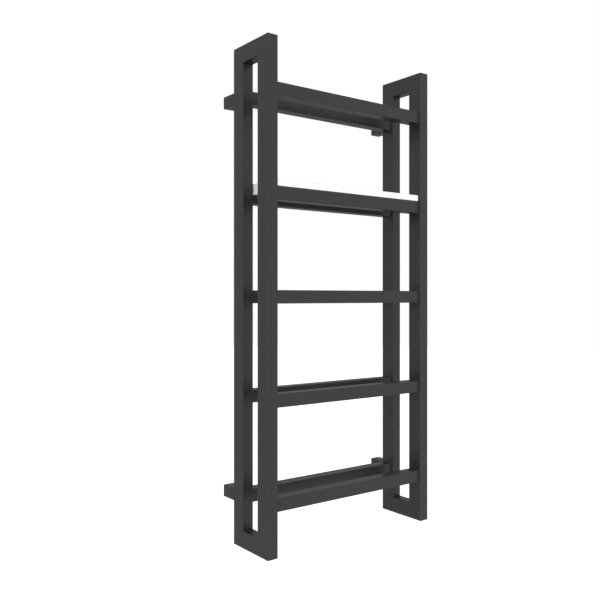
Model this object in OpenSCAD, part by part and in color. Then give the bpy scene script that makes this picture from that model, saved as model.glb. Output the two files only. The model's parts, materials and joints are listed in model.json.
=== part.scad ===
// Wall-mounted hot-water towel rail with five rung levels and a lift-off shelf.
// Two upright rectangular loops of steel tube, the side frames, stand on edge
// out from the wall. Square bars join them in a front row and a rear row, four
// hollow stand-offs hold them off the wall, and a shelf sits on one rung level.
//
// Frame: the origin is the centre of the four wall fixings, on the wall face.
// +Z is up, +Y runs into the wall and +X is to the right of a person facing it.
// All sizes are in millimetres.

/* [Overall] */
// Width over both side frames
rail_w = 500; // [400:5:800]
// Height of the side frames
rail_h = 1150; // [1150:10:1400]
// Depth of the side frames, front to back
frame_d = 140; // [125:1:170]

/* [Side frames] */
// Width of the frame tube, seen from the front
frame_t = 28; // [28:1:32]
// Depth of the frame tube, seen from the side
tube_d = 40; // [37:1:42]
// Wall of the frame tube
frame_wall = 2; // [1.5:0.25:2]
// Outer corner radius of the frame tube
frame_edge_r = 1.5; // [0.5:0.25:2]

/* [Bars] */
// Height and depth of the square bars
bar_size = 30; // [25:1:32]
// Wall of the square bars
bar_wall = 1.5; // [1:0.25:2]
// Outer corner radius of the square bars
bar_edge_r = 1.25; // [0.5:0.25:2]
// Distance from one rung level to the next
level_pitch = 230; // [220:1:235]
// Diameter of the water passage into each bar
bar_flow_d = 18; // [10:1:20]

/* [Stand-offs] */
// Distance from the side frames to the wall
standoff_len = 45; // [45:1:60]
// Width and height of the square stand-offs
standoff_size = 28; // [27:0.5:28]
// Wall of the stand-offs
standoff_wall = 3; // [2.5:0.25:3]
// Length of the solid core that the stand-off slips over
core_len = 40; // [36:1:42]
// Gap between the core and the stand-off around it, on each side
core_gap = 0.2; // [0.1:0.05:0.3]
// Hole for the wall screw
wall_hole_d = 6.5; // [5:0.5:8]
// Recess for the head of the wall screw
screw_head_d = 14; // [12:0.5:15]
// Depth of the recess for the head of the wall screw
screw_head_depth = 8; // [5:1:10]

/* [Locking screws] */
// Diameter of the locking screws
grub_d = 5; // [4:0.5:6]
// Distance from the wall to the locking screws
grub_from_wall = 20; // [15:1:24]
// Width across flats of the hexagon socket
grub_key = 2.5; // [2:0.5:3]

/* [Water sockets] */
// Outer diameter of the welded-in sockets
socket_d = 23.6; // [23:0.2:23.6]
// Length of the bottom sockets
bottom_socket_len = 15; // [12:1:20]
// Length of the top sockets
top_socket_len = 18; // [18:1:24]
// Diameter over the crests of the half-inch pipe thread in the bottom sockets
bottom_bore_d = 18.64; // [18.63:0.01:18.7]
// Diameter over the crests of the three-eighths pipe thread in the top sockets
top_bore_d = 14.95; // [14.95:0.01:15]

/* [Vent and plug] */
// Diameter of the flange, sunk flush in the top socket
flange_d = 20; // [19.5:0.25:20.5]
// Thickness of the flange
flange_h = 4.5; // [4.5:0.25:6]
// Length of the threaded stem below the flange
stem_len = 12; // [12:0.5:13]
// Thickness of the sealing ring
seal_d = 2; // [1.5:0.25:2]
// Width across flats of the hexagon socket in the blanking plug
plug_key = 8; // [6:1:10]
// Diameter of the bleed spindle
spindle_d = 6; // [5:0.5:6.5]
// Side of the square on top of the bleed spindle
spindle_key = 4; // [3:0.25:4.2]

/* [Shelf] */
// Rung level that carries the shelf, counted from the top
shelf_level = 2; // [2:1:4]
// Thickness of the shelf board
board_t = 15; // [12:1:20]
// Thickness of the batten that drops between the front and rear bars
batten_t = 10; // [8:1:14]
// Gap at each end of the shelf
shelf_side_gap = 1; // [1:0.5:3]
// Gap in front of and behind the batten
batten_gap = 1; // [0.5:0.5:3]
// Radius of the long edges of the board and of the batten
shelf_edge_r = 1.5; // [0.5:0.25:2.5]
// Diameter of the screws that hold the batten
batten_screw_d = 3.5; // [3:0.5:4]
// Diameter of the rubber buffers
buffer_d = 10; // [8:1:14]
// Height of the buffers below the board
buffer_proud = 0.5; // [0.5:0.25:1.5]

/* [Hidden] */
$fn = 64;

LEFT = -1;
RIGHT = 1;
UPPER = 1;
LOWER = -1;
LEVELS = 5;
CORNER_STEPS = 6;
OVERCUT = 1;

anthracite = [0.27, 0.26, 0.25];
raw_aluminium = [0.75, 0.76, 0.77];
black_steel = [0.12, 0.12, 0.13];
nickel = [0.72, 0.70, 0.66];
brass = [0.78, 0.62, 0.32];
rubber_black = [0.08, 0.08, 0.08];
shelf_white = [0.95, 0.95, 0.94];
zinc = [0.70, 0.71, 0.72];
clear_silicone = [0.85, 0.86, 0.86];

// Places along Y: wall at 0, room side negative
frame_rear_y = -standoff_len;
frame_front_y = frame_rear_y - frame_d;
slot_front_y = frame_front_y + tube_d;
slot_rear_y = frame_rear_y - tube_d;
front_bar_y = frame_front_y + tube_d / 2;
rear_bar_y = frame_rear_y - tube_d / 2;
frame_mid_y = (frame_front_y + frame_rear_y) / 2;

// Places along X and Z
frame_x = (rail_w - frame_t) / 2;
bar_len = rail_w - 2 * frame_t;
top_z = rail_h / 2;
slot_top_z = top_z - tube_d;
outer_level_z = level_pitch * (LEVELS - 1) / 2;

// Clearances between metal pieces that are welded, screwed or turn in each other
weld_gap = 0.05;
thread_gap = 0.05;
turning_gap = 0.05;

// Stand-off core and its locking screw
core_size = standoff_size - 2 * (standoff_wall + core_gap);
grub_recess = 3;
grub_socket_depth = 2.2;
grub_recess_gap = 0.1;
grub_inset = 0.5;
grub_len = standoff_wall + core_gap + grub_recess - grub_inset - grub_recess_gap;

// Vent and plug, with depths below the top of the frame
flange_gap = 0.2;
seal_groove_gap = 0.1;
seal_ring_r = top_bore_d / 2 + seal_d / 2;
plug_key_depth = 6;
vent_cup_d = 13;
vent_cup_depth = 5;
vent_passage_d = 2.5;
vent_groove_d = 1.5;
spindle_len = 10.5;
spindle_tip_len = 2.5;
spindle_inset = 0.2;
spindle_key_len = vent_cup_depth - spindle_inset;
spindle_tip_depth = vent_cup_depth + spindle_len;

// Shelf
shelf_mid_y = (front_bar_y + rear_bar_y) / 2;
shelf_z = level_z(shelf_level) + bar_size / 2 + buffer_proud;
shelf_len = bar_len - 2 * shelf_side_gap;
board_d = rear_bar_y - front_bar_y + bar_size;
batten_d = rear_bar_y - front_bar_y - bar_size - 2 * batten_gap;
buffer_recess = 1.5;
buffer_from_end = 25;
buffer_x = shelf_len / 2 - buffer_from_end;
batten_screw_bite = 0.6;
batten_screw_len = batten_t + batten_screw_bite * board_t;
batten_screw_from_end = 30;
batten_screw_x = shelf_len / 2 - batten_screw_from_end;
batten_screw_count = 4;
batten_screw_head_d = 2 * batten_screw_d;
batten_screw_cone_h = 2;

// Height of a rung level's centre, with level 1 at the top
function level_z(level) = outer_level_z - (level - 1) * level_pitch;

// Outline of a w by d rectangle about the origin, with corners of radius r
function rounded_outline(w, d, r) = [
    for (corner = [0:3], step = [0:CORNER_STEPS])
        let (
            angle = 90 * (corner + step / CORNER_STEPS),
            side_x = (corner == 0 || corner == 3) ? 1 : -1,
            side_y = (corner < 2) ? 1 : -1
        )
        [side_x * (w / 2 - r) + r * cos(angle), side_y * (d / 2 - r) + r * sin(angle)]
];

// Straight tube along +Z from the origin
module tube(w, d, len, wall, edge_r) {
    difference() {
        linear_extrude(len) polygon(rounded_outline(w, d, edge_r));
        translate([0, 0, -OVERCUT])
            linear_extrude(len + 2 * OVERCUT) square([w - 2 * wall, d - 2 * wall], center = true);
    }
}

// Hexagonal prism along +Z from the origin, by its width across flats
module hexagon(across_flats, h) {
    cylinder(d = across_flats / cos(180 / 6), h = h, $fn = 6);
}

// Prism across the width of a side frame, from an outline in the YZ plane
module across_frame(outline) {
    rotate([90, 0, 90])
        translate([0, 0, -frame_t])
            linear_extrude(2 * frame_t) polygon(outline);
}

// Vertical tube of a side frame, mitred at both ends
module upright(outer_y, inner_y) {
    intersection() {
        translate([0, (outer_y + inner_y) / 2, -top_z])
            tube(frame_t, tube_d, rail_h, frame_wall, frame_edge_r);
        across_frame([[outer_y, -top_z], [inner_y, -slot_top_z], [inner_y, slot_top_z], [outer_y, top_z]]);
    }
}

// Upright in its place, with a water passage into each of its five bars
module drilled_upright(side, outer_y, inner_y, bar_y) {
    color(anthracite)
        difference() {
            translate([side * frame_x, 0, 0]) upright(outer_y, inner_y);
            for (level = [1:LEVELS])
                translate([side * bar_len / 2, bar_y, level_z(level)])
                    rotate([0, side * 90, 0])
                        translate([0, 0, -OVERCUT])
                            cylinder(d = bar_flow_d, h = frame_wall + 2 * OVERCUT);
        }
}

module front_upright(side) {
    drilled_upright(side, frame_front_y, slot_front_y, front_bar_y);
}

module rear_upright(side) {
    drilled_upright(side, frame_rear_y, slot_rear_y, rear_bar_y);
}

// Top or bottom tube of a side frame, mitred at both ends and cut for its socket
module crosspiece(side, end) {
    color(anthracite)
        translate([side * frame_x, 0, 0])
            difference() {
                intersection() {
                    translate([0, frame_front_y, end * (top_z - tube_d / 2)])
                        rotate([-90, 0, 0])
                            tube(frame_t, tube_d, frame_d, frame_wall, frame_edge_r);
                    across_frame([
                        [frame_front_y, end * top_z],
                        [frame_rear_y, end * top_z],
                        [slot_rear_y, end * slot_top_z],
                        [slot_front_y, end * slot_top_z]
                    ]);
                }
                at_socket(end)
                    translate([0, 0, -frame_wall - OVERCUT])
                        cylinder(d = socket_d + 2 * weld_gap, h = frame_wall + 2 * OVERCUT);
            }
}

// Puts its children at a socket's mouth, with +Z pointing out of the frame
module at_socket(end) {
    translate([0, frame_mid_y, end * top_z])
        rotate([end == UPPER ? 0 : 180, 0, 0])
            children();
}

// Threaded round socket, welded in flush with the end of a side frame
module socket(side, end, len, bore_d) {
    color(anthracite)
        translate([side * frame_x, 0, 0])
            at_socket(end)
                difference() {
                    translate([0, 0, -len])
                        cylinder(d = socket_d, h = len);
                    translate([0, 0, -len - OVERCUT])
                        cylinder(d = bore_d, h = len + 2 * OVERCUT);
                    if (end == UPPER)
                        translate([0, 0, -flange_h])
                            cylinder(d = flange_d + 2 * flange_gap, h = flange_h + OVERCUT);
                }
}

// Half-inch socket for a water pipe, in the bottom of a side frame
module bottom_socket(side) {
    socket(side, LOWER, bottom_socket_len, bottom_bore_d);
}

// Three-eighths socket in the top of a side frame, recessed for a flange
module top_socket(side) {
    socket(side, UPPER, top_socket_len, top_bore_d);
}

// Square tube between the side frames
module bar(bar_y, level) {
    color(anthracite)
        translate([-bar_len / 2, bar_y, level_z(level)])
            rotate([90, 0, 90])
                tube(bar_size, bar_size, bar_len, bar_wall, bar_edge_r);
}

module front_bar(level) {
    bar(front_bar_y, level);
}

module rear_bar(level) {
    bar(rear_bar_y, level);
}

// Hollow stub from a rear upright to the wall, tapped from below for its locking screw
module standoff(side, end) {
    color(anthracite)
        translate([side * frame_x, 0, end * outer_level_z])
            difference() {
                rotate([90, 0, 0])
                    tube(standoff_size, standoff_size, standoff_len, standoff_wall, frame_edge_r);
                translate([0, -grub_from_wall, -standoff_size / 2 - OVERCUT])
                    cylinder(d = grub_d + 2 * thread_gap, h = standoff_wall + 2 * OVERCUT);
            }
}

// Solid block that is screwed to the wall and carries a stand-off
module wall_core(side, end) {
    color(raw_aluminium)
        translate([side * frame_x, 0, end * outer_level_z])
            difference() {
                rotate([90, 0, 0])
                    linear_extrude(core_len)
                        polygon(rounded_outline(core_size, core_size, frame_edge_r));
                translate([0, OVERCUT, 0])
                    rotate([90, 0, 0])
                        cylinder(d = wall_hole_d, h = core_len + 2 * OVERCUT);
                translate([0, screw_head_depth - core_len, 0])
                    rotate([90, 0, 0])
                        cylinder(d = screw_head_d, h = screw_head_depth + OVERCUT);
                translate([0, -grub_from_wall, -core_size / 2 - OVERCUT])
                    cylinder(d = grub_d + 2 * grub_recess_gap, h = grub_recess + OVERCUT);
            }
}

// Four hexagon-socket screws that lock the stand-offs on their cores
module locking_screws() {
    color(black_steel)
        for (side = [LEFT, RIGHT], end = [LOWER, UPPER])
            translate([
                side * frame_x,
                -grub_from_wall,
                end * outer_level_z - standoff_size / 2 + grub_inset
            ])
                difference() {
                    cylinder(d = grub_d, h = grub_len);
                    translate([0, 0, -OVERCUT])
                        hexagon(grub_key, grub_socket_depth + OVERCUT);
                }
}

// Flange and threaded stem that close a top socket, grooved for a sealing ring
module socket_plug() {
    difference() {
        translate([0, 0, -flange_h]) {
            cylinder(d = flange_d, h = flange_h);
            translate([0, 0, -stem_len])
                cylinder(d = top_bore_d - 2 * thread_gap, h = stem_len + OVERCUT);
        }
        translate([0, 0, -flange_h])
            difference() {
                translate([0, 0, -OVERCUT])
                    cylinder(r = seal_ring_r + seal_d / 2 + seal_groove_gap, h = seal_d + OVERCUT);
                translate([0, 0, -2 * OVERCUT])
                    cylinder(d = top_bore_d - 2 * thread_gap, h = seal_d + 3 * OVERCUT);
            }
    }
}

// Flush vent in the right frame, with a cup around the key end of the bleed spindle
module air_vent() {
    color(nickel)
        translate([RIGHT * frame_x, frame_mid_y, top_z])
            difference() {
                socket_plug();
                translate([0, 0, -vent_cup_depth])
                    cylinder(d = vent_cup_d, h = vent_cup_depth + OVERCUT);
                translate([0, 0, spindle_tip_len - spindle_tip_depth])
                    cylinder(d = spindle_d + 2 * turning_gap, h = spindle_len);
                spindle_seat();
                translate([0, 0, -flange_h - stem_len - OVERCUT])
                    cylinder(d = vent_passage_d, h = stem_len);
                translate([spindle_d / 2, 0, spindle_tip_len - spindle_tip_depth])
                    cylinder(d = vent_groove_d, h = spindle_len);
            }
}

// Conical seat in the vent, a turning gap larger than the spindle's tip
module spindle_seat() {
    translate([0, 0, -spindle_tip_depth - turning_gap])
        cylinder(
            d1 = vent_passage_d + 2 * turning_gap,
            d2 = spindle_d + 2 * turning_gap,
            h = spindle_tip_len + turning_gap
        );
}

// Turning spindle that opens the vent, with a square end for the key
module bleed_spindle() {
    color(brass)
        translate([RIGHT * frame_x, frame_mid_y, top_z - spindle_tip_depth]) {
            cylinder(d1 = vent_passage_d, d2 = spindle_d, h = spindle_tip_len);
            translate([0, 0, spindle_tip_len])
                cylinder(d = spindle_d, h = spindle_len - spindle_tip_len);
            translate([-spindle_key / 2, -spindle_key / 2, spindle_len])
                cube([spindle_key, spindle_key, spindle_key_len]);
        }
}

// Flush plug in the left frame, tightened by a hexagon key
module blanking_plug() {
    color(nickel)
        translate([LEFT * frame_x, frame_mid_y, top_z])
            difference() {
                socket_plug();
                translate([0, 0, -plug_key_depth])
                    hexagon(plug_key, plug_key_depth + OVERCUT);
            }
}

// Sealing rings under the flanges of the vent and of the plug
module plug_seals() {
    color(rubber_black)
        for (side = [LEFT, RIGHT])
            translate([side * frame_x, frame_mid_y, top_z - flange_h + seal_d / 2])
                rotate_extrude()
                    translate([seal_ring_r, 0]) circle(d = seal_d, $fn = 32);
}

// Long board with rounded long edges, from its underside up
module rounded_board(depth, thickness) {
    translate([-shelf_len / 2, shelf_mid_y, thickness / 2])
        rotate([90, 0, 90])
            linear_extrude(shelf_len) polygon(rounded_outline(depth, thickness, shelf_edge_r));
}

// Puts its children at each batten screw, at the batten's underside
module at_batten_screws() {
    for (i = [0:batten_screw_count - 1])
        translate([
            batten_screw_x * (2 * i / (batten_screw_count - 1) - 1),
            shelf_mid_y,
            shelf_z - batten_t
        ])
            children();
}

// Puts its children at each buffer, at the bottom of the buffer
module at_buffers() {
    for (x = [-buffer_x, buffer_x], y = [front_bar_y, rear_bar_y])
        translate([x, y, shelf_z - buffer_proud]) children();
}

module shelf_board() {
    color(shelf_white)
        difference() {
            translate([0, 0, shelf_z]) rounded_board(board_d, board_t);
            at_buffers() cylinder(d = buffer_d, h = buffer_proud + buffer_recess);
            at_batten_screws()
                cylinder(d = batten_screw_d + 2 * thread_gap, h = batten_screw_len + thread_gap);
        }
}

module shelf_batten() {
    color(shelf_white)
        difference() {
            translate([0, 0, shelf_z - batten_t]) rounded_board(batten_d, batten_t);
            at_batten_screws() {
                translate([0, 0, -OVERCUT])
                    cylinder(d = batten_screw_d + 2 * thread_gap, h = batten_t + 2 * OVERCUT);
                cylinder(
                    d1 = batten_screw_head_d + 2 * thread_gap,
                    d2 = batten_screw_d + 2 * thread_gap,
                    h = batten_screw_cone_h
                );
            }
        }
}

// Countersunk screws from below, through the batten into the board
module batten_screws() {
    color(zinc)
        at_batten_screws() {
            cylinder(d = batten_screw_d, h = batten_screw_len);
            cylinder(d1 = batten_screw_head_d, d2 = batten_screw_d, h = batten_screw_cone_h);
        }
}

module shelf_buffers() {
    color(clear_silicone)
        at_buffers() cylinder(d = buffer_d, h = buffer_proud + buffer_recess);
}

front_upright(LEFT);  // left_front_upright
rear_upright(LEFT);  // left_rear_upright
crosspiece(LEFT, UPPER);  // left_top_crosspiece
crosspiece(LEFT, LOWER);  // left_bottom_crosspiece
front_upright(RIGHT);  // right_front_upright
rear_upright(RIGHT);  // right_rear_upright
crosspiece(RIGHT, UPPER);  // right_top_crosspiece
crosspiece(RIGHT, LOWER);  // right_bottom_crosspiece
front_bar(1);  // front_bar_1
front_bar(2);  // front_bar_2
front_bar(3);  // front_bar_3
front_bar(4);  // front_bar_4
front_bar(5);  // front_bar_5
rear_bar(1);  // rear_bar_1
rear_bar(2);  // rear_bar_2
rear_bar(3);  // rear_bar_3
rear_bar(4);  // rear_bar_4
rear_bar(5);  // rear_bar_5
standoff(LEFT, UPPER);  // upper_left_standoff
standoff(RIGHT, UPPER);  // upper_right_standoff
standoff(LEFT, LOWER);  // lower_left_standoff
standoff(RIGHT, LOWER);  // lower_right_standoff
wall_core(LEFT, UPPER);  // upper_left_wall_core
wall_core(RIGHT, UPPER);  // upper_right_wall_core
wall_core(LEFT, LOWER);  // lower_left_wall_core
wall_core(RIGHT, LOWER);  // lower_right_wall_core
locking_screws();
top_socket(LEFT);  // left_top_socket
top_socket(RIGHT);  // right_top_socket
bottom_socket(LEFT);  // left_bottom_socket
bottom_socket(RIGHT);  // right_bottom_socket
air_vent();
bleed_spindle();
blanking_plug();
plug_seals();
shelf_board();
shelf_batten();
batten_screws();
shelf_buffers();
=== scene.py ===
import json
import math

import bmesh
import bpy
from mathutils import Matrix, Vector


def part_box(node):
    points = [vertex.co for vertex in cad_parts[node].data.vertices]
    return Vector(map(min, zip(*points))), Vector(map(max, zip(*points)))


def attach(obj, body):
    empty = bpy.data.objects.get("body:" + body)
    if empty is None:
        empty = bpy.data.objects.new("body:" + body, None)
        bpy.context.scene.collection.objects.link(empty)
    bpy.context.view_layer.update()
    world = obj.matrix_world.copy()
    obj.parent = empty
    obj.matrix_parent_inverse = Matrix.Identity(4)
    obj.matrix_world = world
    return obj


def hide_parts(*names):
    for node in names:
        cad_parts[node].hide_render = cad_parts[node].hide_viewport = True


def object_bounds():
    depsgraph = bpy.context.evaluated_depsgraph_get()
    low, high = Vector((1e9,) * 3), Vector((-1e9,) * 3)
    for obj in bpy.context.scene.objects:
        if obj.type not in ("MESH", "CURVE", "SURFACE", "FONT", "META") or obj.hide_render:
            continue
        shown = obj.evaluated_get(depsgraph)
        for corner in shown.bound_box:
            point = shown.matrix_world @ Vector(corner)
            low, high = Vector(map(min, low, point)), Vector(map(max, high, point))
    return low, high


# Looks of a wall-mounted hot-water towel rail: coated steel tubes with their
# welds, a lacquered shelf, turned fittings with real threads, and materials.
# Everything is in metres, in the CAD frame: +Z up, +Y into the wall.

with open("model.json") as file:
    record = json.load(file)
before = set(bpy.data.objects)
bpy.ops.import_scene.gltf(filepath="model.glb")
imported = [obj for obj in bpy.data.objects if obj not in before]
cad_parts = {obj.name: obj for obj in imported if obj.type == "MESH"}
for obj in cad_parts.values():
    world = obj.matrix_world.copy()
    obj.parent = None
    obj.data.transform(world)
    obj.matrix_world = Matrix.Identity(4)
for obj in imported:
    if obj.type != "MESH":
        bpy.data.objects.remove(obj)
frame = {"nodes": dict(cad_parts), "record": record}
cad_low, cad_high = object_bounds()

MM = 0.001
SIDES = ("left", "right")
LEVELS = (1, 2, 3, 4, 5)
STANDOFF_PLACES = ("upper_left", "upper_right", "lower_left", "lower_right")

# Tubes
FRAME_WALL = 2 * MM
BAR_WALL = 1.5 * MM
STANDOFF_WALL = 3 * MM
FRAME_EDGE = 1.5 * MM
BAR_EDGE = 1.25 * MM
CORNER_STEPS = 8
WELD_SIZE = 1.2 * MM
WELD_STEPS = 5

# Holes and turned fittings
OVERCUT = 1 * MM
HOLE_STEPS = 48
TURNED_STEPS = 72
THREAD_SAMPLES = 10
THREAD_RUN_OUT = 0.6  # of a pitch
THREAD_STEEPNESS = 1.25
THREAD_ROOT_SHARE = 0.125
CHAMFER = 0.4 * MM
SNUG = 0.05 * MM

# Water sockets and the stems screwed into them, with their pipe threads
SEAT_CUTTER_REACH = 20 * MM
HALF_INCH_CREST = 9.32 * MM
HALF_INCH_PITCH = 1.814 * MM
HALF_INCH_DEPTH = 1.1 * MM
SOCKET_THREAD_FROM_MOUTH = 1.2 * MM
SOCKET_THREAD_FROM_END = 1.0 * MM
THREE_EIGHTHS_CREST = 14.95 * MM / 2
THREE_EIGHTHS_PITCH = 1.337 * MM
STEM_THREAD_DEPTH = 0.75 * MM
STEM_THREAD_FROM_END = 0.6 * MM
STEM_THREAD_FROM_FLANGE = 0.8 * MM
STEM_RELIEF = 0.3 * MM

# Vent and plug, sunk in the top sockets
FLANGE_RECESS_RADIUS = 10.2 * MM
FLANGE_HEIGHT = 4.5 * MM
FLANGE_SOFTENED = 0.2 * MM
SEAL_THICKNESS = 2 * MM
SEAL_GROOVE_GAP = 0.1 * MM
PLUG_KEY = 8 * MM
PLUG_KEY_DEPTH = 6 * MM
PLUG_DISH_RADII = (5.4 * MM, 4.7 * MM)
PLUG_DISH_DEPTH = 0.35 * MM
CUP_RADIUS = 6.5 * MM
CUP_DEPTH = 5 * MM
PASSAGE_RADIUS = 1.3 * MM
SPINDLE_TIP_RADIUS = 1.25 * MM
SPINDLE_TIP_LENGTH = 2.5 * MM
SPINDLE_SHOULDER = 10.5 * MM
SPINDLE_KEY = 4 * MM
SPINDLE_KEY_CORNER = 0.25 * MM

# Wall cores and locking screws
CORE_EDGE = 0.8 * MM
SCREW_HEAD_RADIUS = 7 * MM
SCREW_HEAD_DEPTH = 8 * MM
WALL_HOLE_RADIUS = 3.25 * MM
WALL_HOLE_CHAMFER = 0.6 * MM
WALL_HOLE_OVERCUT = 0.75 * MM
WALL_HOLE_FLARE = WALL_HOLE_CHAMFER + WALL_HOLE_OVERCUT
LOCK_SCREW_D = 5 * MM
LOCK_RECESS_RADIUS = 2.6 * MM
LOCK_RECESS_DEPTH = 3 * MM
LOCK_SCREW_INSET = 0.5 * MM
LOCK_SCREW_GAP = 0.1 * MM
LOCK_KEY = 2.5 * MM
LOCK_KEY_DEPTH = 2.2 * MM
M5_PITCH = 0.8 * MM
M5_DEPTH = 0.4 * MM
LOCK_SCREW_BEVEL = 0.1 * MM
LOCK_THREAD_FROM_HEAD = 0.3 * MM
LOCK_THREAD_FROM_POINT = 0.5 * MM
LOCK_POINT_TAPER = 1.0 * MM
LOCK_SCREW_STEPS = 40

# Shelf
BOARD_EDGE = 1.6 * MM
BATTEN_EDGE = 1.2 * MM
BEVEL_STEPS = 5
BUFFER_RADIUS = 5 * MM
BUFFER_RECESS = 1.5 * MM
BUFFER_GAP = 0.02 * MM
BUFFER_FOOT = ((0.75, 0), (0.93, 0.06 * MM), (0.99, 0.25 * MM), (1, 0.5 * MM))  # share of radius, height
BATTEN_SCREWS = 4
PILOT_RADIUS = 1.8 * MM
PILOT_DEPTH = 9.1 * MM
HEAD_RADIUS = 3.55 * MM
HEAD_CONE = 2 * MM
HEAD_CUTTER_RADIUS = 4.5 * MM
PILOT_CUTTER_TOP = 12 * MM
HEAD_RIM_BEVEL = 0.1 * MM
HEAD_RIM_HEIGHT = 0.12 * MM
WOOD_NECK_SHARE = 0.75
WOOD_NECK_HEIGHT = 3 * MM
WOOD_ROOT_SHARE = 0.68
WOOD_THREAD_START = 3.2 * MM
WOOD_THREAD_FROM_TIP = 2.2 * MM
WOOD_TIP_SHARE = 0.3
WOOD_TIP_LENGTH = 0.6 * MM
WOOD_TIP_RADIUS = 0.15 * MM
WOOD_THREAD_PITCH = 1.6 * MM
WOOD_SCREW_STEPS = 32

# Powder coat. The scales of its grain are in cells a metre.
COAT_GRAIN = 1100.0
COAT_GRAIN_DEPTH = 0.055 * MM
COAT_SPECKS = 1900.0
COAT_SPECK_DEPTH = 0.02 * MM
COAT_DARK = (0.0248, 0.0219, 0.0196)
COAT_LIGHT = (0.0285, 0.0253, 0.0227)
COAT_SPECK = (0.0520, 0.0475, 0.0435)
COAT_EDGE = (0.0450, 0.0410, 0.0375)
COAT_ROUGHNESS = 0.35
COAT_ROUGHNESS_SPREAD = 0.04
COAT_RUBBING = 0.02
COAT_SPECULAR = 0.36

# Lacquer
LACQUER_DARK = (0.93, 0.93, 0.925)
LACQUER_LIGHT = (0.96, 0.96, 0.955)
LACQUER_EDGE = (0.90, 0.89, 0.87)

# Studio
FLOOR_DARK = (0.93, 0.93, 0.93)
FLOOR_LIGHT = (0.95, 0.95, 0.95)
FLOOR_RADIUS = 30.0
FLOOR_BELOW = 1.60
FLOOR_GLOW = 0.35
LIGHT_FROM = (-0.5, -0.87, 0)
LIGHT_STRONGEST = 1.45
LIGHT_WEAKEST = 0.32
SHOWN_WHITE = 1.0
FILL_FROM = (0.5, 0.87, 0)
FILL_ANGLE = math.radians(40)
FILL_STRENGTH = 4.0

# Camera: how far it is to the left and out from the near corner, in rail heights
CAMERA_LEFT = 0.7702
CAMERA_OUT = 1.1355
CAMERA_TURN = math.radians(36.72)
CAMERA_LENS = 43.52
CAMERA_SHIFT_Y = -0.0053

# Cross recess of a wood screw: reach and half width of its arms, at two heights
CROSS_SECTIONS = ((2.0 * MM, 0.45 * MM, -0.5 * MM), (1.0 * MM, 0.25 * MM, 1.6 * MM))

# Sharp edges stay sharp above this angle
SMOOTH_ANGLE = math.radians(40)


# ---------------------------------------------------------------- materials

def node_material(name):
    """An empty node material: (material, its node tree, its Principled shader)."""
    material = bpy.data.materials.new(name)
    material.use_nodes = True
    tree = material.node_tree
    return material, tree, tree.nodes["Principled BSDF"]


def add(tree, kind, **values):
    """A shader node with some of its sockets or properties set."""
    node = tree.nodes.new(kind)
    for key, value in values.items():
        if key in node.inputs:
            node.inputs[key].default_value = value
        else:
            setattr(node, key, value)
    return node


def math_node(tree, operation, first, second=None):
    """A Math node. Each input is a socket or a number."""
    node = add(tree, "ShaderNodeMath", operation=operation)
    for i, value in enumerate((first, second)):
        if value is None:
            continue
        if isinstance(value, (int, float)):
            node.inputs[i].default_value = value
        else:
            tree.links.new(value, node.inputs[i])
    return node.outputs[0]


def object_place(tree, stretch=(1, 1, 1)):
    """Object coordinates, in metres, stretched for grain that runs one way."""
    coordinates = add(tree, "ShaderNodeTexCoord")
    mapping = add(tree, "ShaderNodeMapping")
    mapping.inputs["Scale"].default_value = stretch
    tree.links.new(coordinates.outputs["Object"], mapping.inputs["Vector"])
    return mapping.outputs[0]


def noise(tree, place, scale, detail=3.0, roughness=0.5):
    """Noise from 0 to 1 at so many cells a metre."""
    node = add(tree, "ShaderNodeTexNoise", Scale=scale, Detail=detail, Roughness=roughness)
    tree.links.new(place, node.inputs["Vector"])
    return node.outputs["Fac"]


def spread(tree, value, low, high, from_low=0.0, from_high=1.0):
    """value, which lies between from_low and from_high, moved to between low and high."""
    node = add(tree, "ShaderNodeMapRange")
    for i, number in enumerate((from_low, from_high, low, high), start=1):
        node.inputs[i].default_value = number
    tree.links.new(value, node.inputs[0])
    return node.outputs[0]


def mix_colours(tree, factor, first, second):
    """A blend of two colours. Each is a socket or an (r, g, b)."""
    node = add(tree, "ShaderNodeMix", data_type="RGBA")
    tree.links.new(factor, node.inputs["Factor"])
    for socket, colour in ((node.inputs[6], first), (node.inputs[7], second)):
        if isinstance(colour, tuple):
            socket.default_value = (*colour, 1.0)
        else:
            tree.links.new(colour, socket)
    return node.outputs[2]


def split_normal(tree):
    """The x, y and z of the surface's normal."""
    geometry = add(tree, "ShaderNodeNewGeometry")
    split = add(tree, "ShaderNodeSeparateXYZ")
    tree.links.new(geometry.outputs["Normal"], split.inputs[0])
    return split.outputs


def rounded_edges(tree):
    """1 on the rounded edges of a piece that is square to the axes, 0 on its flat faces."""
    sizes = [math_node(tree, "ABSOLUTE", part) for part in split_normal(tree)]
    largest = math_node(tree, "MAXIMUM", math_node(tree, "MAXIMUM", sizes[0], sizes[1]), sizes[2])
    return spread(tree, largest, 1.0, 0.0, 0.75, 0.98)


def upward(tree):
    """1 on faces that look up, 0 on the others."""
    return spread(tree, split_normal(tree)[2], 0.0, 1.0, 0.8, 1.0)


def bump(tree, shader, heights):
    """Bump from (height socket, depth in metres) pairs, one on another."""
    last = None
    for height, depth in heights:
        node = add(tree, "ShaderNodeBump", Strength=1.0, Distance=depth)
        tree.links.new(height, node.inputs["Height"])
        if last is not None:
            tree.links.new(last, node.inputs["Normal"])
        last = node.outputs[0]
    tree.links.new(last, shader.inputs["Normal"])


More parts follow.
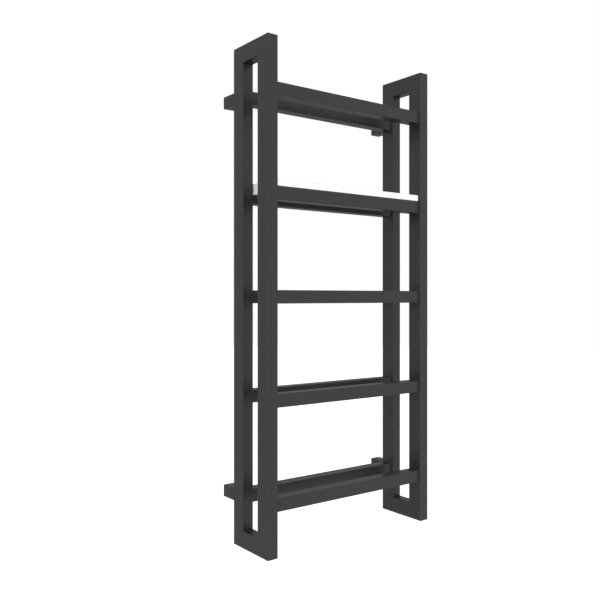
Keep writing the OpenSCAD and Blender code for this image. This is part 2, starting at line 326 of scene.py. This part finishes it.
def powder_coat():
    """Satin anthracite powder coat: fine orange peel, thinner on edges, rubbed on top."""
    material, tree, shader = node_material("anthracite_powder_coat")
    place = object_place(tree)
    clouds = noise(tree, place, 9.0, 4.0)
    specks = noise(tree, place, COAT_SPECKS, 1.0)
    grain = noise(tree, place, COAT_GRAIN, 3.0)
    patches = spread(tree, noise(tree, place, 55.0, 4.0), 0.15, 1.0)
    edge = math_node(tree, "MULTIPLY", rounded_edges(tree), patches)
    base = mix_colours(tree, clouds, COAT_DARK, COAT_LIGHT)
    base = mix_colours(tree, spread(tree, specks, 0.0, 0.5, 0.62, 0.8), base, COAT_SPECK)
    base = mix_colours(tree, math_node(tree, "MULTIPLY", edge, 0.4), base, COAT_EDGE)
    tree.links.new(base, shader.inputs["Base Color"])
    wear = spread(tree, noise(tree, place, 14.0, 3.0), 0.0, COAT_RUBBING)
    rubbed = math_node(tree, "MULTIPLY", upward(tree), wear)
    smoothest = COAT_ROUGHNESS - COAT_ROUGHNESS_SPREAD
    rough = spread(tree, grain, smoothest, COAT_ROUGHNESS + COAT_ROUGHNESS_SPREAD)
    tree.links.new(math_node(tree, "SUBTRACT", rough, rubbed), shader.inputs["Roughness"])
    shader.inputs["Specular IOR Level"].default_value = COAT_SPECULAR
    bump(tree, shader, [(grain, COAT_GRAIN_DEPTH), (specks, COAT_SPECK_DEPTH)])
    return material


def white_lacquer():
    """Sprayed white satin lacquer: soft orange peel, a little warmer on the edges."""
    material, tree, shader = node_material("white_satin_lacquer")
    place = object_place(tree)
    clouds = noise(tree, place, 7.0, 3.0)
    peel = noise(tree, place, 420.0, 2.0)
    dust = noise(tree, place, 1500.0, 1.0)
    base = mix_colours(tree, clouds, LACQUER_DARK, LACQUER_LIGHT)
    edge = math_node(tree, "MULTIPLY", rounded_edges(tree), 0.3)
    base = mix_colours(tree, edge, base, LACQUER_EDGE)
    tree.links.new(base, shader.inputs["Base Color"])
    tree.links.new(spread(tree, clouds, 0.34, 0.42), shader.inputs["Roughness"])
    bump(tree, shader, [(peel, 0.015 * MM), (dust, 0.004 * MM)])
    return material


def machined_metal(name, light, dark, roughness, stretch, depth):
    """Bare or plated metal with tool marks that run one way, and fine scratches."""
    material, tree, shader = node_material(name)
    marks = noise(tree, object_place(tree, stretch), 1.0, 2.0)
    place = object_place(tree)
    stains = noise(tree, place, 60.0, 4.0)
    edge = math_node(tree, "MULTIPLY", rounded_edges(tree), 0.35)
    polished = tuple(min(1.0, part * 1.25) for part in light)
    base = mix_colours(tree, stains, dark, light)
    base = mix_colours(tree, edge, base, polished)
    tree.links.new(base, shader.inputs["Base Color"])
    shader.inputs["Metallic"].default_value = 1.0
    worn = math_node(tree, "MULTIPLY", marks, 0.12)
    rough = spread(tree, stains, roughness - 0.05, roughness + 0.05)
    tree.links.new(math_node(tree, "ADD", worn, rough), shader.inputs["Roughness"])
    bump(tree, shader, [(marks, depth)])
    return material


def soft_rubber(name, light, dark, roughness):
    """Moulded rubber or silicone with a fine matt skin and a little bloom."""
    material, tree, shader = node_material(name)
    place = object_place(tree)
    bloom = noise(tree, place, 180.0, 4.0)
    skin = noise(tree, place, 2400.0, 2.0)
    tree.links.new(mix_colours(tree, bloom, dark, light), shader.inputs["Base Color"])
    tree.links.new(spread(tree, bloom, roughness - 0.06, roughness + 0.06), shader.inputs["Roughness"])
    bump(tree, shader, [(skin, 0.01 * MM)])
    return material


def floor_paint():
    """Plain pale studio floor with hardly visible mottling."""
    material, tree, shader = node_material("studio_floor")
    mottle = noise(tree, object_place(tree), 1.3, 4.0)
    tree.links.new(mix_colours(tree, mottle, FLOOR_DARK, FLOOR_LIGHT), shader.inputs["Base Color"])
    tree.links.new(spread(tree, mottle, 0.85, 0.95), shader.inputs["Roughness"])
    shader.inputs["Specular IOR Level"].default_value = 0.0
    shader.inputs["Emission Color"].default_value = (1.0, 1.0, 1.0, 1.0)
    shader.inputs["Emission Strength"].default_value = FLOOR_GLOW
    return material


MATERIALS = {
    "powder_coated_steel": powder_coat(),
    "white_lacquer": white_lacquer(),
    "raw_aluminium": machined_metal(
        "milled_aluminium", light=(0.80, 0.81, 0.82), dark=(0.66, 0.67, 0.69),
        roughness=0.32, stretch=(900, 60, 60), depth=0.01 * MM),
    "black_steel": machined_metal(
        "black_oxide_steel", light=(0.10, 0.10, 0.11), dark=(0.05, 0.05, 0.055),
        roughness=0.42, stretch=(700, 700, 120), depth=0.006 * MM),
    "nickel": machined_metal(
        "satin_nickel", light=(0.76, 0.73, 0.68), dark=(0.66, 0.63, 0.59),
        roughness=0.28, stretch=(90, 90, 1500), depth=0.004 * MM),
    "brass": machined_metal(
        "turned_brass", light=(0.83, 0.64, 0.30), dark=(0.68, 0.50, 0.22),
        roughness=0.26, stretch=(90, 90, 1500), depth=0.004 * MM),
    "zinc_plate": machined_metal(
        "bright_zinc", light=(0.76, 0.77, 0.78), dark=(0.62, 0.64, 0.67),
        roughness=0.30, stretch=(200, 200, 900), depth=0.004 * MM),
    "seal_rubber": soft_rubber(
        "black_seal_rubber", light=(0.030, 0.030, 0.031), dark=(0.018, 0.018, 0.018), roughness=0.6),
    "buffer_rubber": soft_rubber(
        "pale_silicone", light=(0.80, 0.81, 0.81), dark=(0.70, 0.71, 0.71), roughness=0.45),
}
SLOT_OF = {part["node"]: part["material_slot"] for part in frame["record"]["subparts"]}
BODY_OF = {
    node: body
    for body, nodes in frame["record"]["behaviour"]["bodies"].items()
    for node in nodes
}


# ------------------------------------------------------------- mesh helpers

def finish_mesh(name, bm):
    """Turns a bmesh into a linked object with outward normals."""
    bmesh.ops.recalc_face_normals(bm, faces=bm.faces)
    mesh = bpy.data.meshes.new(name)
    bm.to_mesh(mesh)
    bm.free()
    piece = bpy.data.objects.new(name, mesh)
    bpy.context.scene.collection.objects.link(piece)
    return piece


def cut_away(piece, cutter_bm):
    """Takes a closed cutter out of a piece, exactly."""
    cutter = finish_mesh("cutter", cutter_bm)
    modifier = piece.modifiers.new("cut", "BOOLEAN")
    modifier.object = cutter
    modifier.operation = "DIFFERENCE"
    modifier.solver = "EXACT"
    depsgraph = bpy.context.evaluated_depsgraph_get()
    result = bpy.data.meshes.new_from_object(piece.evaluated_get(depsgraph))
    piece.modifiers.clear()
    before = piece.data
    piece.data = result
    result.name = piece.name
    bpy.data.meshes.remove(before)
    bpy.data.objects.remove(cutter)


def dress(piece, node):
    """Gives a piece its shading, its material and its place in the frame, in place of a CAD node."""
    mesh = piece.data
    mesh.materials.clear()
    mesh.materials.append(MATERIALS[SLOT_OF[node]])
    for face in mesh.polygons:
        face.material_index = 0
        face.use_smooth = True
    mesh.set_sharp_from_angle(angle=SMOOTH_ANGLE)
    weighted = piece.modifiers.new("flat_faces_stay_flat", "WEIGHTED_NORMAL")
    weighted.keep_sharp = True
    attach(piece, BODY_OF[node])
    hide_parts(node)
    return piece


def rounded_outline(half_u, half_v, radius):
    """Corner-rounded rectangle about 0, counterclockwise, as (u, v) points."""
    points = []
    for corner, (side_u, side_v) in enumerate(((1, 1), (-1, 1), (-1, -1), (1, -1))):
        for step in range(CORNER_STEPS + 1):
            angle = math.pi / 2 * (corner + step / CORNER_STEPS)
            points.append((
                side_u * (half_u - radius) + radius * math.cos(angle),
                side_v * (half_v - radius) + radius * math.sin(angle),
            ))
    return points


def bridge(bm, first, second):
    """Quads between two rings of as many points."""
    count = len(first)
    for i in range(count):
        j = (i + 1) % count
        bm.faces.new((first[i], first[j], second[j], second[i]))


def weld_profile(size):
    """(distance from the joint, growth of the outline) down a concave weld, from the joint out."""
    steps = [math.pi / 2 * i / WELD_STEPS for i in range(WELD_STEPS + 1)]
    return [(size * (1 - math.cos(a)), size * (1 - math.sin(a))) for a in steps]


def tube(node, along, wall, edge, mitre=None, welds=(), weld_axes=(1, 1)):
    """A square tube that fills a CAD node's box.

    along is the axis it runs along. mitre is (axis across it, "low" or "high"), the side
    that is longest. welds says which ends, "low" or "high", have a weld, and weld_axes
    in which of the two directions across the tube the weld stands out.
    """
    low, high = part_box(node)
    centre = (low + high) / 2
    u_axis = (along + 1) % 3
    v_axis = (along + 2) % 3
    half_u = (high[u_axis] - low[u_axis]) / 2
    half_v = (high[v_axis] - low[v_axis]) / 2

    def vertex(u, v, distance, end):
        point = Vector((0, 0, 0))
        point[u_axis] = centre[u_axis] + u
        point[v_axis] = centre[v_axis] + v
        if mitre is not None:
            across, longest = mitre
            outer = low[across] if longest == "low" else high[across]
            distance += abs(point[across] - outer)
        point[along] = low[along] + distance if end == "low" else high[along] - distance
        return bm.verts.new(point)

    bm = bmesh.new()
    rings = []
    for end in ("low", "high"):
        profile = weld_profile(WELD_SIZE) if end in welds else [(0, 0)]
        rows = []
        for distance, growth in profile:
            grown = rounded_outline(
                half_u + growth * weld_axes[0], half_v + growth * weld_axes[1], edge + growth)
            rows.append([vertex(u, v, distance, end) for u, v in grown])
        inner = rounded_outline(half_u - wall, half_v - wall, wall / 4)
        inner_row = [vertex(u, v, 0, end) for u, v in inner]
        rings.append((inner_row, rows))
    (inner_low, rows_low), (inner_high, rows_high) = rings
    outside = rows_low + rows_high[::-1]
    for first, second in zip(outside, outside[1:]):
        bridge(bm, first, second)
    bridge(bm, inner_low, outside[0])
    bridge(bm, outside[-1], inner_high)
    bridge(bm, inner_high, inner_low)
    return finish_mesh(node + "_tube", bm)


def rounded_box(bm, low, high, radius):
    """A box with all its edges and corners rounded."""
    made = bmesh.ops.create_cube(bm, size=1.0)
    for vert in made["verts"]:
        for axis in range(3):
            vert.co[axis] = low[axis] if vert.co[axis] < 0 else high[axis]
    edges = {edge for vert in made["verts"] for edge in vert.link_edges}
    bmesh.ops.bevel(
        bm, geom=list(edges), offset=radius, segments=BEVEL_STEPS, profile=0.5, affect="EDGES",
        clamp_overlap=True)


def revolve(bm, stations, centre, closed, flip=1, steps=TURNED_STEPS):
    """A turned shape. Each station is (radius or function of the angle, height) about centre.

    closed joins the last station to the first, for a shape with a hole right through.
    flip -1 turns it upside down.
    """
    rings = []
    for radius, height in stations:
        ring = []
        for i in range(steps):
            angle = 2 * math.pi * i / steps
            r = radius(angle) if callable(radius) else radius
            offset = Vector((r * math.cos(angle), r * math.sin(angle), flip * height))
            ring.append(bm.verts.new(centre + offset))
        rings.append(ring)
    for first, second in zip(rings, rings[1:]):
        bridge(bm, first, second)
    if closed:
        bridge(bm, rings[-1], rings[0])
    else:
        bm.faces.new(rings[0])
        bm.faces.new(rings[-1])


def thread(start, end, root, crest, pitch):
    """Stations of a helical thread between two heights, run out smoothly at both ends."""
    count = max(2, round(abs(end - start) / pitch * THREAD_SAMPLES))
    stations = []
    for i in range(count + 1):
        height = start + (end - start) * i / count
        run_out = min(1.0, min(abs(height - start), abs(end - height)) / (THREAD_RUN_OUT * pitch))

        def radius(angle, height=height, run_out=run_out):
            turn = (height / pitch - angle / (2 * math.pi)) % 1.0
            flank = THREAD_STEEPNESS * (1 - abs(2 * turn - 1)) - THREAD_ROOT_SHARE
            ridge = min(1.0, max(0.0, flank))
            return root + (crest - root) * ridge * run_out

        stations.append((radius, height))
    return stations


def prism(bm, centre, radius, low, high, sides=HOLE_STEPS):
    """A closed upright prism or cylinder, as a cutter."""
    revolve(bm, [(radius, low), (radius, high)], centre, closed=False, steps=sides)


def hexagon(bm, centre, across_flats, low, high):
    """A closed upright hexagonal prism, as a cutter."""
    prism(bm, centre, across_flats / 2 / math.cos(math.pi / 6), low, high, sides=6)


# ------------------------------------------------------------ steel tubes

def side_frames():
    """Mitred tubes of the two side frames."""
    for side in SIDES:
        for name, outer in (("front", "low"), ("rear", "high")):
            node = f"{side}_{name}_upright"
            dress(tube(node, 2, FRAME_WALL, FRAME_EDGE, mitre=(1, outer)), node)
        for name, outer in (("top", "high"), ("bottom", "low")):
            node = f"{side}_{name}_crosspiece"
            piece = tube(node, 1, FRAME_WALL, FRAME_EDGE, mitre=(2, outer))
            socket_low, socket_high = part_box(f"{side}_{name}_socket")
            hole = bmesh.new()
            prism(
                hole, (socket_low + socket_high) / 2, (socket_high.x - socket_low.x) / 2 + SNUG,
                -SEAT_CUTTER_REACH, SEAT_CUTTER_REACH, TURNED_STEPS)
            cut_away(piece, hole)
            dress(piece, node)


def rungs():
    """Front and rear bars, each welded to a side frame at both ends."""
    for row in ("front", "rear"):
        for level in LEVELS:
            node = f"{row}_bar_{level}"
            dress(tube(node, 0, BAR_WALL, BAR_EDGE, welds=("low", "high")), node)


def locking_screw_y():
    """How far out the locking screws are, from the group's CAD box."""
    low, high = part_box("locking_screws")
    return (low.y + high.y) / 2


def standoffs():
    """Stubs to the wall, welded to the rear uprights above and below, with a screw hole below."""
    for place in STANDOFF_PLACES:
        node = f"{place}_standoff"
        piece = tube(node, 1, STANDOFF_WALL, FRAME_EDGE, welds=("low",), weld_axes=(1, 0))
        low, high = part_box(node)
        hole = bmesh.new()
        prism(
            hole, Vector(((low.x + high.x) / 2, locking_screw_y(), low.z)), LOCK_SCREW_D / 2 + SNUG,
            -OVERCUT, STANDOFF_WALL + OVERCUT)
        cut_away(piece, hole)
        dress(piece, node)


# --------------------------------------------------------- wall fixings

def wall_cores():
    """Milled blocks in the stand-offs, with the screw hole, its recess and the locking recess."""
    for place in STANDOFF_PLACES:
        node = f"{place}_wall_core"
        low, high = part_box(node)
        centre = (low + high) / 2
        length = high.y - low.y
        bm = bmesh.new()
        rounded_box(bm, low, high, CORE_EDGE)
        piece = finish_mesh(node + "_block", bm)
        bore = bmesh.new()
        profile = [
            (SCREW_HEAD_RADIUS, -OVERCUT), (SCREW_HEAD_RADIUS, SCREW_HEAD_DEPTH),
            (WALL_HOLE_RADIUS, SCREW_HEAD_DEPTH), (WALL_HOLE_RADIUS, length - WALL_HOLE_CHAMFER),
            (WALL_HOLE_RADIUS + WALL_HOLE_FLARE, length + WALL_HOLE_OVERCUT),
        ]
        revolve(bore, profile, Vector((0, 0, 0)), closed=False, steps=HOLE_STEPS)
        for vert in bore.verts:
            vert.co = Vector((centre.x + vert.co.x, low.y + vert.co.z, centre.z + vert.co.y))
        cut_away(piece, bore)
        recess = bmesh.new()
        mouth = Vector((centre.x, locking_screw_y(), low.z))
        prism(recess, mouth, LOCK_RECESS_RADIUS, -OVERCUT, LOCK_RECESS_DEPTH)
        cut_away(piece, recess)
        dress(piece, node)


def locking_screws():
    """Four black M5 screws with hexagon sockets, seen in the undersides of the stand-offs."""
    node = "locking_screws"
    crest = LOCK_SCREW_D / 2
    root = crest - M5_DEPTH
    bm = bmesh.new()
    sockets = bmesh.new()
    for place in STANDOFF_PLACES:
        sleeve_low, sleeve_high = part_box(f"{place}_standoff")
        core_low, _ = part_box(f"{place}_wall_core")
        bottom = sleeve_low.z + LOCK_SCREW_INSET
        length = core_low.z + LOCK_RECESS_DEPTH - LOCK_SCREW_GAP - bottom
        centre = Vector(((sleeve_low.x + sleeve_high.x) / 2, locking_screw_y(), bottom))
        stations = [(root - LOCK_SCREW_BEVEL, 0)]
        stations += thread(
            LOCK_THREAD_FROM_HEAD, length - LOCK_THREAD_FROM_POINT, root, crest, M5_PITCH)
        stations += [(crest - LOCK_POINT_TAPER, length)]
        revolve(bm, stations, centre, closed=False, steps=LOCK_SCREW_STEPS)
        hexagon(sockets, centre, LOCK_KEY, -OVERCUT, LOCK_KEY_DEPTH)
    piece = finish_mesh("locking_screws_m5", bm)
    cut_away(piece, sockets)
    dress(piece, node)


# ------------------------------------------------------- water fittings

def mouth_of(node, end):
    """Middle of a socket's mouth, from its CAD box."""
    low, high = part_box(node)
    centre = (low + high) / 2
    centre.z = high.z if end == "top" else low.z
    return centre


def bottom_sockets():
    """Half-inch sockets in the undersides of the frames, with an internal thread."""
    for side in SIDES:
        node = f"{side}_bottom_socket"
        low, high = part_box(node)
        outer = (high.x - low.x) / 2
        length = high.z - low.z
        root = HALF_INCH_CREST + HALF_INCH_DEPTH
        stations = [(outer, -CHAMFER), (outer - CHAMFER, 0), (root + CHAMFER, 0)]
        stations += thread(
            -SOCKET_THREAD_FROM_MOUTH, SOCKET_THREAD_FROM_END - length, root, HALF_INCH_CREST,
            HALF_INCH_PITCH)
        stations += [(root, -length), (outer - CHAMFER, -length), (outer, -length + CHAMFER)]
        bm = bmesh.new()
        revolve(bm, stations, mouth_of(node, "bottom"), closed=True, flip=-1)
        dress(finish_mesh(node + "_threaded", bm), node)


def top_sockets():
    """Three-eighths sockets in the tops of the frames, recessed for a flange."""
    for side in SIDES:
        node = f"{side}_top_socket"
        low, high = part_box(node)
        outer = (high.x - low.x) / 2
        length = high.z - low.z
        bore = THREE_EIGHTHS_CREST
        recess = FLANGE_RECESS_RADIUS
        stations = [
            (outer, -CHAMFER), (outer - CHAMFER, 0), (recess + CHAMFER, 0), (recess, -CHAMFER),
            (recess, -FLANGE_HEIGHT), (bore, -FLANGE_HEIGHT), (bore, -length),
            (outer - CHAMFER, -length), (outer, -length + CHAMFER),
        ]
        bm = bmesh.new()
        revolve(bm, stations, mouth_of(node, "top"), closed=True)
        dress(finish_mesh(node + "_recessed", bm), node)


def plug_outside(flange_radius, stem_bottom):
    """Stations up the outside of a flush plug: threaded stem, seal groove and flange."""
    crest = THREE_EIGHTHS_CREST - SNUG
    root = crest - STEM_THREAD_DEPTH
    groove_outer = THREE_EIGHTHS_CREST + SEAL_THICKNESS + SEAL_GROOVE_GAP
    under = -FLANGE_HEIGHT
    groove_top = under + SEAL_THICKNESS
    stations = [(root - CHAMFER, stem_bottom)]
    stations += thread(
        stem_bottom + STEM_THREAD_FROM_END, under - STEM_THREAD_FROM_FLANGE, root, crest,
        THREE_EIGHTHS_PITCH)
    stations += [
        (root, under - STEM_RELIEF), (crest, under), (crest, groove_top), (groove_outer, groove_top),
        (groove_outer, under), (flange_radius - FLANGE_SOFTENED, under),
        (flange_radius, under + FLANGE_SOFTENED), (flange_radius, -CHAMFER),
        (flange_radius - CHAMFER, 0),
    ]
    return stations


def blanking_plug():
    """Flush plug with a hexagon socket, in the top of the left frame."""
    node = "blanking_plug"
    low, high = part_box(node)
    top = mouth_of(node, "top")
    dish_outer, dish_inner = PLUG_DISH_RADII
    stations = plug_outside((high.x - low.x) / 2, low.z - high.z)
    stations += [(dish_outer, 0), (dish_inner, -PLUG_DISH_DEPTH)]
    bm = bmesh.new()
    revolve(bm, stations, top, closed=False)
    piece = finish_mesh("blanking_plug_turned", bm)
    pocket = bmesh.new()
    hexagon(pocket, top, PLUG_KEY, -PLUG_KEY_DEPTH, OVERCUT)
    cut_away(piece, pocket)
    dress(piece, node)


def air_vent():
    """Flush vent with a cup around the spindle's key end, in the top of the right frame."""
    node = "air_vent"
    low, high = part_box(node)
    bottom = low.z - high.z
    spindle_low, spindle_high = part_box("bleed_spindle")
    tip = spindle_low.z - high.z - SNUG
    bore = (spindle_high.x - spindle_low.x) / 2 + SNUG
    stations = plug_outside((high.x - low.x) / 2, bottom)
    stations += [
        (CUP_RADIUS + CHAMFER, 0), (CUP_RADIUS, -CHAMFER), (CUP_RADIUS, -CUP_DEPTH),
        (bore + CHAMFER, -CUP_DEPTH), (bore, -CUP_DEPTH - CHAMFER),
        (bore, tip + SPINDLE_TIP_LENGTH + SNUG), (PASSAGE_RADIUS, tip), (PASSAGE_RADIUS, bottom),
    ]
    bm = bmesh.new()
    revolve(bm, stations, mouth_of(node, "top"), closed=True)
    dress(finish_mesh("air_vent_turned", bm), node)


def bleed_spindle():
    """Turned brass spindle with a chamfered square key end."""
    node = "bleed_spindle"
    low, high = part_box(node)
    centre = (low + high) / 2
    centre.z = low.z
    round_radius = (high.x - low.x) / 2
    half_key = SPINDLE_KEY / 2
    length = high.z - low.z

    def square(half):
        def radius(angle):
            flat = half / max(abs(math.cos(angle)), abs(math.sin(angle)))
            return min(flat, half * math.sqrt(2) - SPINDLE_KEY_CORNER)
        return radius

    stations = [
        (SPINDLE_TIP_RADIUS, 0), (round_radius, SPINDLE_TIP_LENGTH),
        (round_radius, SPINDLE_SHOULDER - CHAMFER), (round_radius - CHAMFER, SPINDLE_SHOULDER),
        (square(half_key), SPINDLE_SHOULDER), (square(half_key), length - CHAMFER),
        (square(half_key - CHAMFER), length),
    ]
    bm = bmesh.new()
    revolve(bm, stations, centre, closed=False)
    dress(finish_mesh("bleed_spindle_turned", bm), node)


# ------------------------------------------------------------------- shelf

def batten_screw_places():
    """x of each batten screw, from the group's CAD box."""
    low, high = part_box("batten_screws")
    head = (high.y - low.y) / 2
    first = low.x + head
    last = high.x - head
    return [first + (last - first) * i / (BATTEN_SCREWS - 1) for i in range(BATTEN_SCREWS)]


def buffer_places():
    """(x, y) of each buffer, from the group's CAD box."""
    low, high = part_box("shelf_buffers")
    across = (low.x + BUFFER_RADIUS, high.x - BUFFER_RADIUS)
    out = (low.y + BUFFER_RADIUS, high.y - BUFFER_RADIUS)
    return [(x, y) for x in across for y in out]


def shelf_board():
    """Lacquered board with soft edges, recessed below for the buffers and screws."""
    node = "shelf_board"
    low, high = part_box(node)
    bm = bmesh.new()
    rounded_box(bm, low, high, BOARD_EDGE)
    piece = finish_mesh("shelf_board_lacquered", bm)
    holes = bmesh.new()
    for x, y in buffer_places():
        prism(holes, Vector((x, y, low.z)), BUFFER_RADIUS + BUFFER_GAP, -OVERCUT, BUFFER_RECESS)
    middle = (low.y + high.y) / 2
    for x in batten_screw_places():
        prism(holes, Vector((x, middle, low.z)), PILOT_RADIUS, -OVERCUT, PILOT_DEPTH, WOOD_SCREW_STEPS)
    cut_away(piece, holes)
    dress(piece, node)


def shelf_batten():
    """Lacquered batten between the bars, countersunk for its screws."""
    node = "shelf_batten"
    low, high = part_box(node)
    bm = bmesh.new()
    rounded_box(bm, low, high, BATTEN_EDGE)
    piece = finish_mesh("shelf_batten_lacquered", bm)
    holes = bmesh.new()
    middle = (low.y + high.y) / 2
    profile = [
        (HEAD_CUTTER_RADIUS, -OVERCUT), (HEAD_RADIUS, 0), (PILOT_RADIUS, HEAD_CONE),
        (PILOT_RADIUS, PILOT_CUTTER_TOP),
    ]
    for x in batten_screw_places():
        revolve(holes, profile, Vector((x, middle, low.z)), closed=False, steps=HOLE_STEPS)
    cut_away(piece, holes)
    dress(piece, node)


def batten_screws():
    """Zinc-plated wood screws with cross recesses, seen from below the shelf."""
    node = "batten_screws"
    low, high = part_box(node)
    middle = (low.y + high.y) / 2
    length = high.z - low.z
    head = (high.y - low.y) / 2
    shank = head / 2
    bm = bmesh.new()
    recesses = bmesh.new()
    for x in batten_screw_places():
        centre = Vector((x, middle, low.z))
        stations = [
            (head - HEAD_RIM_BEVEL, 0), (head, HEAD_RIM_HEIGHT), (shank, HEAD_CONE),
            (shank * WOOD_NECK_SHARE, WOOD_NECK_HEIGHT),
        ]
        stations += thread(
            WOOD_THREAD_START, length - WOOD_THREAD_FROM_TIP, shank * WOOD_ROOT_SHARE, shank,
            WOOD_THREAD_PITCH)
        stations += [(shank * WOOD_TIP_SHARE, length - WOOD_TIP_LENGTH), (WOOD_TIP_RADIUS, length)]
        revolve(bm, stations, centre, closed=False, steps=WOOD_SCREW_STEPS)
        cross_recess(recesses, centre)
    piece = finish_mesh("batten_wood_screws", bm)
    cut_away(piece, recesses)
    dress(piece, node)


def cross_recess(bm, centre):
    """A cross that narrows upwards, as a cutter for a screw's drive."""
    rings = []
    for reach, half_width, height in CROSS_SECTIONS:
        ring = []
        for quarter in range(4):
            turn = quarter * math.pi / 2
            for u, v in ((reach, -half_width), (reach, half_width), (half_width, half_width)):
                ring.append(bm.verts.new(centre + Vector((
                    u * math.cos(turn) - v * math.sin(turn),
                    u * math.sin(turn) + v * math.cos(turn),
                    height,
                ))))
        rings.append(ring)
    bridge(bm, *rings)
    bm.faces.new(rings[0])
    bm.faces.new(rings[1])


def shelf_buffers():
    """Silicone discs with a soft foot, let into the underside of the board."""
    node = "shelf_buffers"
    low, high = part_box(node)
    stations = [(BUFFER_RADIUS * share, height) for share, height in BUFFER_FOOT]
    stations += [(BUFFER_RADIUS, high.z - low.z)]
    bm = bmesh.new()
    for x, y in buffer_places():
        revolve(bm, stations, Vector((x, y, low.z)), closed=False, steps=HOLE_STEPS)
    dress(finish_mesh("shelf_buffer_discs", bm), node)


# ------------------------------------------------ floor, light and camera

def soft_light_all_round():
    """World that lights the rail most from its front left, and shows as plain white."""
    world = bpy.data.worlds.new("white_studio")
    world.use_nodes = True
    tree = world.node_tree
    light = tree.nodes["Background"]
    light.inputs["Color"].default_value = (1.0, 1.0, 1.0, 1.0)
    coordinates = add(tree, "ShaderNodeTexCoord")
    towards = add(tree, "ShaderNodeVectorMath", operation="DOT_PRODUCT")
    tree.links.new(coordinates.outputs["Generated"], towards.inputs[0])
    towards.inputs[1].default_value = Vector(LIGHT_FROM).normalized()
    strength = spread(tree, towards.outputs["Value"], LIGHT_WEAKEST, LIGHT_STRONGEST, -1.0, 1.0)
    tree.links.new(strength, light.inputs["Strength"])
    shown = add(tree, "ShaderNodeBackground", Strength=SHOWN_WHITE)
    shown.inputs["Color"].default_value = (1.0, 1.0, 1.0, 1.0)
    mix = add(tree, "ShaderNodeMixShader")
    path = add(tree, "ShaderNodeLightPath")
    tree.links.new(path.outputs["Is Camera Ray"], mix.inputs[0])
    tree.links.new(light.outputs[0], mix.inputs[1])
    tree.links.new(shown.outputs[0], mix.inputs[2])
    tree.links.new(mix.outputs[0], tree.nodes["World Output"].inputs["Surface"])
    return world


def fill_light():
    """Wide soft light, without a shine, on the faces that look to the wall and to the right."""
    data = bpy.data.lights.new("fill_light", "SUN")
    data.energy = FILL_STRENGTH
    data.angle = FILL_ANGLE
    light = bpy.data.objects.new("fill_light", data)
    light.rotation_euler = (-Vector(FILL_FROM)).to_track_quat("-Z", "Y").to_euler()
    light.visible_glossy = False
    bpy.context.scene.collection.objects.link(light)


def studio():
    """Pale floor and soft white light from all round."""
    scene = bpy.context.scene
    bm = bmesh.new()
    bmesh.ops.create_circle(bm, cap_ends=True, segments=96, radius=FLOOR_RADIUS)
    bmesh.ops.translate(bm, verts=bm.verts, vec=(0, 0, cad_low.z - FLOOR_BELOW))
    floor = finish_mesh("studio_floor_disc", bm)
    floor.data.materials.append(floor_paint())
    floor.visible_diffuse = False
    floor.visible_glossy = False
    scene.world = soft_light_all_round()
    fill_light()
    scene.view_settings.view_transform = "Standard"
    scene.view_settings.look = "None"


def camera():
    """Level camera in front of the rail and to its left, at its mid-height."""
    height = cad_high.z - cad_low.z
    data = bpy.data.cameras.new("camera")
    data.sensor_width = 36.0
    data.lens = CAMERA_LENS
    data.shift_y = CAMERA_SHIFT_Y
    data.clip_start = 0.01
    data.clip_end = 100.0
    eye = bpy.data.objects.new("camera", data)
    eye.location = (
        cad_low.x - CAMERA_LEFT * height,
        cad_low.y - CAMERA_OUT * height,
        (cad_low.z + cad_high.z) / 2,
    )
    eye.rotation_euler = (math.pi / 2, 0, -CAMERA_TURN)
    bpy.context.scene.collection.objects.link(eye)
    bpy.context.scene.camera = eye


camera()
studio()
side_frames()
rungs()
standoffs()
wall_cores()
locking_screws()
bottom_sockets()
top_sockets()
blanking_plug()
air_vent()
bleed_spindle()
shelf_board()
shelf_batten()
batten_screws()
shelf_buffers()

# What is still shown of the CAD model gets its finished material
for node_name, node_object in frame["nodes"].items():
    if not node_object.hide_render:
        for slot in node_object.material_slots:
            slot.material = MATERIALS[SLOT_OF[node_name]]
